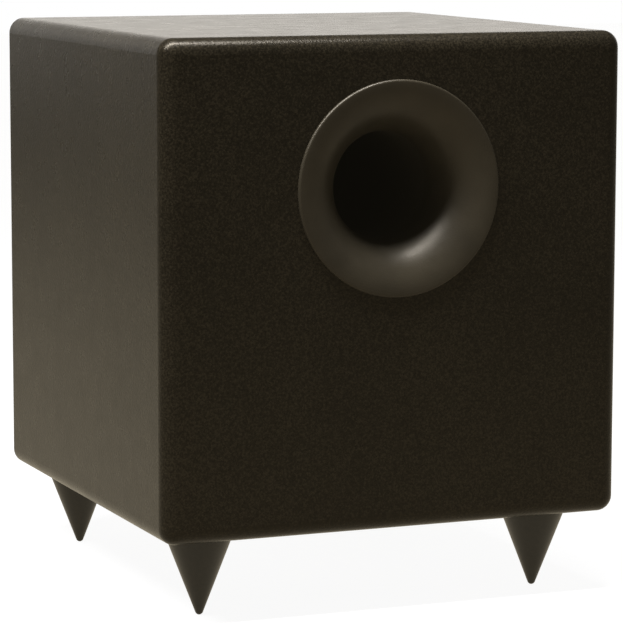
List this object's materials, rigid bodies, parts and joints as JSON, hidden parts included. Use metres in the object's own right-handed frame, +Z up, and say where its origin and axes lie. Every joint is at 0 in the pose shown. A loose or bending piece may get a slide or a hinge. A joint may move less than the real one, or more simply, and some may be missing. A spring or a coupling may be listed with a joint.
{
  "type": "active subwoofer",
  "caption": "Cube-shaped active subwoofer with a flared front port, down-firing driver, rear plate amplifier and threaded cone spikes for feet.",
  "frame": {"origin": "on the floor, under the middle of the whole object's box", "axes": "+Z up; the port and baffle face -Y; the amplifier plate faces +Y; +X is to the right of someone who looks at the front"},
  "size_m": [0.3, 0.318, 0.35],
  "materials": {
    "cabinet_paint": "textured satin black paint over board",
    "raw_board": "raw fibreboard",
    "polyester_wadding": "fluffy white wadding",
    "port_plastic": "satin black moulded plastic",
    "tube_plastic": "matt black tube",
    "zinc_steel": "bright zinc plate",
    "spike_lacquer": "black lacquered turned steel",
    "basket_steel": "black powder coat",
    "foam_gasket": "closed-cell foam",
    "black_screws": "black oxide",
    "trim_plastic": "matt black trim",
    "surround_rubber": "soft butyl rubber",
    "cone_plastic": "satin black cone",
    "dust_cap_plastic": "satin black dome",
    "former_film": "amber film",
    "copper_wire": "copper wire",
    "spider_cloth": "resin treated cloth",
    "plated_steel": "zinc plated steel",
    "ferrite": "sintered ferrite",
    "terminal_board": "phenolic board with brass tabs",
    "lead_insulation": "insulated lead",
    "plate_aluminium": "black textured powder coat",
    "sink_aluminium": "black anodised extrusion",
    "circuit_board": "green solder mask",
    "transformer_winding": "taped toroidal winding",
    "capacitor_sleeve": "shrink sleeve",
    "nickel_plate": "nickel plate",
    "jack_plastic": "coloured jack insulator",
    "knob_plastic": "matt black knob",
    "lever_plastic": "off-white lever",
    "switch_plastic": "black switch moulding",
    "rocker_plastic": "glossy black paddle",
    "fuse_glass": "glass tube with plated caps",
    "led_lens": "clear blue lens"
  },
  "bodies": {
    "cabinet": {"front_baffle": "cabinet_paint", "top_panel": "cabinet_paint", "bottom_panel": "cabinet_paint", "left_panel": "cabinet_paint", "right_panel": "cabinet_paint", "rear_panel": "cabinet_paint", "window_brace": "raw_board", "damping_pads": "polyester_wadding", "port_flare": "port_plastic", "port_tube": "tube_plastic", "port_inner_flare": "port_plastic", "foot_inserts": "zinc_steel", "driver_basket": "basket_steel", "driver_gasket": "foam_gasket", "driver_screws": "black_screws", "surround_ring": "trim_plastic", "driver_surround": "surround_rubber", "driver_spider": "spider_cloth", "driver_top_plate": "plated_steel", "driver_magnet": "ferrite", "driver_yoke": "plated_steel", "driver_terminals": "terminal_board", "tinsel_leads": "copper_wire", "speaker_leads": "lead_insulation", "amp_plate": "plate_aluminium", "amp_gasket": "foam_gasket", "amp_screws": "black_screws", "heat_sink": "sink_aluminium", "amp_circuit_board": "circuit_board", "power_transformer": "transformer_winding", "filter_capacitors": "capacitor_sleeve", "rca_shells": "nickel_plate", "rca_insulators": "jack_plastic", "control_pots": "zinc_steel", "slide_switch_bodies": "zinc_steel", "rocker_frame": "switch_plastic", "mains_inlet": "switch_plastic", "inlet_pins": "nickel_plate", "status_led": "led_lens"},
    "cone_assembly": {"driver_cone": "cone_plastic", "driver_dust_cap": "dust_cap_plastic", "voice_coil_former": "former_film", "voice_coil_winding": "copper_wire"},
    "volume_control": {"volume_shaft": "zinc_steel", "volume_knob": "knob_plastic"},
    "crossover_control": {"crossover_shaft": "zinc_steel", "crossover_knob": "knob_plastic"},
    "phase_switch": {"phase_lever": "lever_plastic"},
    "mode_switch": {"mode_lever": "lever_plastic"},
    "rocker": {"power_rocker": "rocker_plastic"},
    "fuse_holder": {"fuse_drawer": "switch_plastic", "fuse": "fuse_glass"},
    "stud_fl": {"foot_stud_fl": "zinc_steel"},
    "spike_fl": {"foot_spike_fl": "spike_lacquer"},
    "stud_fr": {"foot_stud_fr": "zinc_steel"},
    "spike_fr": {"foot_spike_fr": "spike_lacquer"},
    "stud_bl": {"foot_stud_bl": "zinc_steel"},
    "spike_bl": {"foot_spike_bl": "spike_lacquer"},
    "stud_br": {"foot_stud_br": "zinc_steel"},
    "spike_br": {"foot_spike_br": "spike_lacquer"}
  },
  "joints": [
    {"name": "cone_excursion", "type": "slide", "parent": "cabinet", "child": "cone_assembly", "axis": [0, 0, -1], "range_m": [-0.008, 0.008], "stiffness_N_per_m": 2000, "deforming": ["driver_surround", "driver_spider", "tinsel_leads"]},
    {"name": "volume_turn", "type": "hinge", "parent": "cabinet", "child": "volume_control", "pos_m": [0.064, 0.143, 0.288], "axis": [0, -1, 0], "range_deg": [-150, 150]},
    {"name": "crossover_turn", "type": "hinge", "parent": "cabinet", "child": "crossover_control", "pos_m": [0.024, 0.143, 0.288], "axis": [0, -1, 0], "range_deg": [-150, 150]},
    {"name": "phase_slide", "type": "slide", "parent": "cabinet", "child": "phase_switch", "axis": [-1, 0, 0], "range_m": [0, 0.004]},
    {"name": "mode_slide", "type": "slide", "parent": "cabinet", "child": "mode_switch", "axis": [-1, 0, 0], "range_m": [0, 0.004]},
    {"name": "power_rock", "type": "hinge", "parent": "cabinet", "child": "rocker", "pos_m": [0.058, 0.139, 0.108], "axis": [1, 0, 0], "range_deg": [0, 16]},
    {"name": "fuse_pull", "type": "slide", "parent": "cabinet", "child": "fuse_holder", "axis": [0, 1, 0], "range_m": [0, 0.018]},
    {"name": "foot_travel_fl", "type": "slide", "parent": "cabinet", "child": "stud_fl", "axis": [0, 0, -1], "range_m": [0, 0.005]},
    {"name": "foot_turn_fl", "type": "hinge", "parent": "stud_fl", "child": "spike_fl", "pos_m": [-0.115, -0.121, 0.025], "axis": [0, 0, 1], "range_deg": [0, 1440]},
    {"name": "foot_travel_fr", "type": "slide", "parent": "cabinet", "child": "stud_fr", "axis": [0, 0, -1], "range_m": [0, 0.005]},
    {"name": "foot_turn_fr", "type": "hinge", "parent": "stud_fr", "child": "spike_fr", "pos_m": [0.109, -0.121, 0.025], "axis": [0, 0, 1], "range_deg": [0, 1440]},
    {"name": "foot_travel_bl", "type": "slide", "parent": "cabinet", "child": "stud_bl", "axis": [0, 0, -1], "range_m": [0, 0.005]},
    {"name": "foot_turn_bl", "type": "hinge", "parent": "stud_bl", "child": "spike_bl", "pos_m": [-0.115, 0.109, 0.025], "axis": [0, 0, 1], "range_deg": [0, 1440]},
    {"name": "foot_travel_br", "type": "slide", "parent": "cabinet", "child": "stud_br", "axis": [0, 0, -1], "range_m": [0, 0.005]},
    {"name": "foot_turn_br", "type": "hinge", "parent": "stud_br", "child": "spike_br", "pos_m": [0.109, 0.109, 0.025], "axis": [0, 0, 1], "range_deg": [0, 1440]}
  ],
  "couplings": [
    {"joint": "foot_travel_fl", "follows": "foot_turn_fl", "m_per_rad": 0.0001989},
    {"joint": "foot_travel_fr", "follows": "foot_turn_fr", "m_per_rad": 0.0001989},
    {"joint": "foot_travel_bl", "follows": "foot_turn_bl", "m_per_rad": 0.0001989},
    {"joint": "foot_travel_br", "follows": "foot_turn_br", "m_per_rad": 0.0001989}
  ]
}
